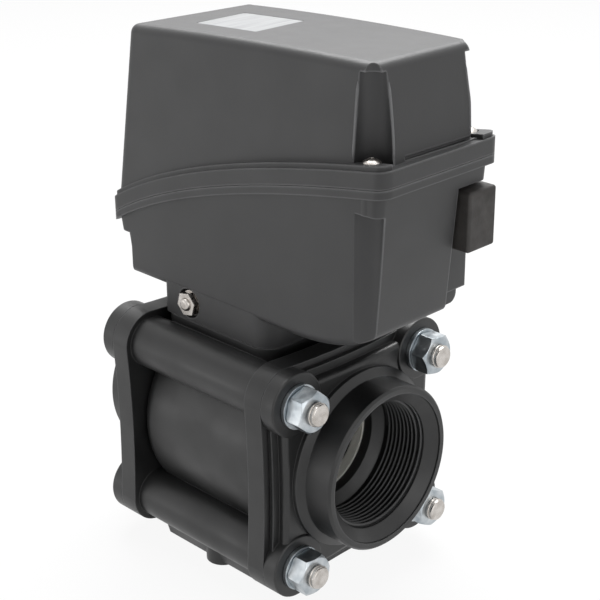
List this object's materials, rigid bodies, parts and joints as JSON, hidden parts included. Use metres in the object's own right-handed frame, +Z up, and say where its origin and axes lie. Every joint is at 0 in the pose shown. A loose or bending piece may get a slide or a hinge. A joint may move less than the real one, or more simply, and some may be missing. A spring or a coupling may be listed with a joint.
{
  "type": "motorized valve actuator",
  "caption": "Bolted full-bore plastic ball valve with threaded ports, turned by a geared electric actuator in a tapered two-part housing on top.",
  "frame": {"origin": "centre of the foot on its underside, straight below the crossing of the flow axis and the stem axis", "axes": "+X along the flow axis out of the outlet port under the overhanging end of the actuator, +Z up along the stem"},
  "size_m": [0.1717, 0.1082, 0.2497],
  "materials": {
    "valve_plastic": "glass-filled polypropylene, black, satin from the mould",
    "housing_plastic": "fine-textured dark grey plastic, matte",
    "ball_plastic": "smooth moulded ball",
    "seat_polymer": "cream fluoropolymer",
    "seal_rubber": "black rubber",
    "cap_rubber": "matte black rubber",
    "stainless": "stainless steel",
    "zinc": "bright zinc-plated steel",
    "plain_steel": "plain steel",
    "brass": "brass",
    "bush_bronze": "sintered bronze",
    "gear_nylon": "natural nylon",
    "magnet_grey": "bonded ferrite",
    "chip_black": "moulded package",
    "board_green": "solder mask",
    "relay_blue": "moulded relay case",
    "terminal_green": "moulded terminal block",
    "label_silver": "blank silver plate"
  },
  "bodies": {
    "valve_and_housing": {"actuator_base": "housing_plastic", "actuator_cover": "housing_plastic", "axle_large": "plain_steel", "axle_small": "plain_steel", "board_posts": "brass", "body_bolts": "stainless", "body_nuts": "zinc", "body_o_ring_inlet": "seal_rubber", "body_o_ring_outlet": "seal_rubber", "body_washers": "zinc", "circuit_board": "board_green", "clamp_bolt": "stainless", "clamp_nut": "stainless", "clamp_washer": "stainless", "connector_pins": "brass", "connector_socket": "housing_plastic", "cover_gasket": "seal_rubber", "cover_screws": "stainless", "end_cap_inlet": "valve_plastic", "end_cap_outlet": "valve_plastic", "gear_plate": "plain_steel", "motor_can": "zinc", "mounting_inserts": "brass", "nameplate": "label_silver", "output_bush": "bush_bronze", "plate_posts": "brass", "plate_screws": "plain_steel", "position_sensor": "chip_black", "relays": "relay_blue", "seat_o_ring_inlet": "seal_rubber", "seat_o_ring_outlet": "seal_rubber", "seat_ring_inlet": "seat_polymer", "seat_ring_outlet": "seat_polymer", "stem_thrust_washer": "seat_polymer", "terminal_block": "terminal_green", "valve_body": "valve_plastic"},
    "ball_and_shaft": {"ball": "ball_plastic", "stem": "stainless", "stem_o_ring_lower": "seal_rubber", "stem_o_ring_upper": "seal_rubber", "output_shaft": "plain_steel", "output_gear": "gear_nylon", "position_magnet": "magnet_grey"},
    "large_compound": {"compound_gear_large": "gear_nylon"},
    "small_compound": {"compound_gear_small": "gear_nylon"},
    "motor_rotor": {"motor_pinion": "bush_bronze", "motor_shaft": "plain_steel"},
    "cap": {"connector_cap": "cap_rubber"}
  },
  "joints": [
    {"name": "valve_turn", "type": "hinge", "parent": "valve_and_housing", "child": "ball_and_shaft", "pos_m": [0, 0, 0.062], "axis": [0, 0, 1], "range_deg": [0, 90]},
    {"name": "large_compound_spin", "type": "hinge", "parent": "valve_and_housing", "child": "large_compound", "pos_m": [0.03305, 0, 0.142], "axis": [0, 0, 1], "range_deg": [-410, 0]},
    {"name": "small_compound_spin", "type": "hinge", "parent": "valve_and_housing", "child": "small_compound", "pos_m": [0.0559, 0, 0.152], "axis": [0, 0, 1], "range_deg": [0, 1530]},
    {"name": "motor_spin", "type": "hinge", "parent": "valve_and_housing", "child": "motor_rotor", "pos_m": [0.07155, 0, 0.155], "axis": [0, 0, 1], "range_deg": [-5080, 0]},
    {"name": "cap_pull", "type": "slide", "parent": "valve_and_housing", "child": "cap", "axis": [1, 0, 0], "range_m": [0, 0.025]}
  ],
  "couplings": [
    {"joint": "large_compound_spin", "follows": "valve_turn", "ratio": -4.5},
    {"joint": "small_compound_spin", "follows": "valve_turn", "ratio": 16.875},
    {"joint": "motor_spin", "follows": "valve_turn", "ratio": -56.25}
  ]
}
